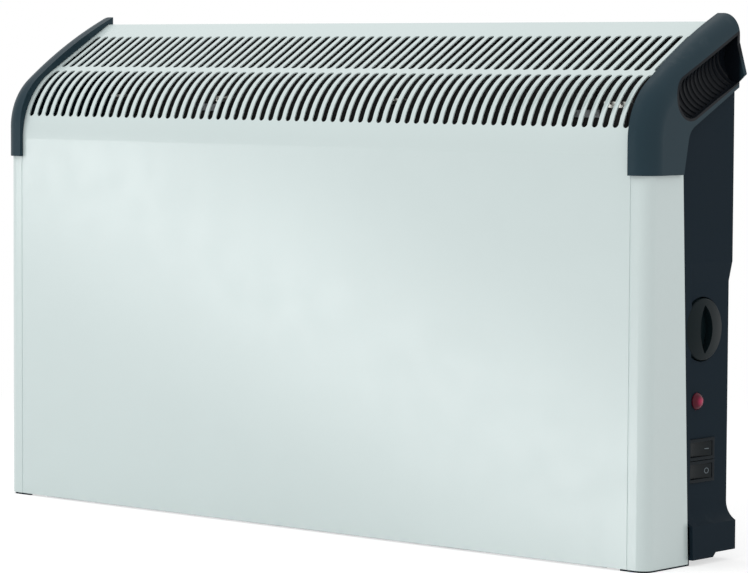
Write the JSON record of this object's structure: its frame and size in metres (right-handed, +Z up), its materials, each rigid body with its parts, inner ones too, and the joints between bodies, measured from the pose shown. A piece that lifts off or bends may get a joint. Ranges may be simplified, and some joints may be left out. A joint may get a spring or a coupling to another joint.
{
  "type": "fan convector heater",
  "caption": "Portable or wall-hung electric fan convector heater: pale folded front with a sloping slotted top, dark end caps with finger grips, and side controls.",
  "frame": {"origin": "middle of the heater's outline on the surface it stands on", "axes": "+X along the heater towards the controls, +Y from the front panel back to the wall, +Z up"},
  "size_m": [0.6912, 0.11, 0.4061],
  "materials": {
    "panel_enamel": "smooth satin enamel, pale grey-white",
    "cap_moulding": "fine satin moulding, dark slate grey",
    "side_moulding": "fine satin moulding, charcoal",
    "galvanised_steel": "dull galvanised sheet",
    "element_sheath": "dark oxidised metal sheath",
    "ceramic": "off-white ceramic and moulded insulator",
    "fan_aluminium": "plain rolled aluminium",
    "bright_steel": "bright zinc-plated steel",
    "bronze": "plain bronze and brass",
    "laminations": "stacked steel laminations",
    "winding": "enamelled copper winding under clear tape",
    "knob_plastic": "satin moulding, near black",
    "thermostat_plastic": "dark phenolic moulding",
    "neon_red": "clear dark red lens",
    "lamp_body": "black nylon",
    "switch_black": "satin black moulding",
    "rocker_black": null,
    "wire_sheath": "heat-resistant wire sheath"
  },
  "bodies": {
    "casing": {"back_panel": "galvanised_steel", "base_tray": "galvanised_steel", "cable_gland": "lamp_body", "case_screws": "bright_steel", "element_terminals": "ceramic", "end_cap_screws": "bright_steel", "fan_bearing": "bronze", "fan_housing": "galvanised_steel", "fan_switch_frame": "switch_black", "front_heat_shield": "galvanised_steel", "front_panel": "panel_enamel", "heat_switch_frame": "switch_black", "internal_wiring": "wire_sheath", "left_element_support": "galvanised_steel", "left_end_cap": "cap_moulding", "left_partition": "galvanised_steel", "left_side_panel": "side_moulding", "lower_heating_element": "element_sheath", "middle_element_support": "galvanised_steel", "motor_base": "galvanised_steel", "motor_coil": "winding", "motor_inner_bracket": "galvanised_steel", "motor_outer_bracket": "galvanised_steel", "motor_stator": "laminations", "neon_holder": "lamp_body", "neon_lens": "neon_red", "rear_heat_shield": "galvanised_steel", "right_element_support": "galvanised_steel", "right_end_cap": "cap_moulding", "right_partition": "galvanised_steel", "right_side_panel": "side_moulding", "terminal_block": "ceramic", "terminal_screws": "bronze", "thermal_cutout": "thermostat_plastic", "thermostat_body": "thermostat_plastic", "thermostat_nut": "bright_steel", "upper_heating_element": "element_sheath", "wall_bracket": "galvanised_steel"},
    "knob": {"thermostat_knob": "knob_plastic", "thermostat_spindle": "bright_steel"},
    "fan_key": {"fan_switch_rocker": "rocker_black"},
    "heat_key": {"heat_switch_rocker": "rocker_black"},
    "fan": {"fan_impeller": "fan_aluminium", "fan_shaft": "bright_steel", "motor_rotor": "laminations"}
  },
  "joints": [
    {"name": "knob_turn", "type": "hinge", "parent": "casing", "child": "knob", "pos_m": [0.33, 0.0215, 0.1733], "axis": [-1, 0, 0], "range_deg": [0, 270]},
    {"name": "fan_switch_rock", "type": "hinge", "parent": "casing", "child": "fan_key", "pos_m": [0.3272, 0.0207, 0.0681], "axis": [0, 0, 1], "range_deg": [0, 14]},
    {"name": "heat_switch_rock", "type": "hinge", "parent": "casing", "child": "heat_key", "pos_m": [0.3272, 0.0207, 0.0845], "axis": [0, 0, 1], "range_deg": [0, 14]},
    {"name": "fan_spin", "type": "hinge", "parent": "casing", "child": "fan", "pos_m": [-0.023, 0.0035, 0.0415], "axis": [1, 0, 0], "continuous": true}
  ]
}
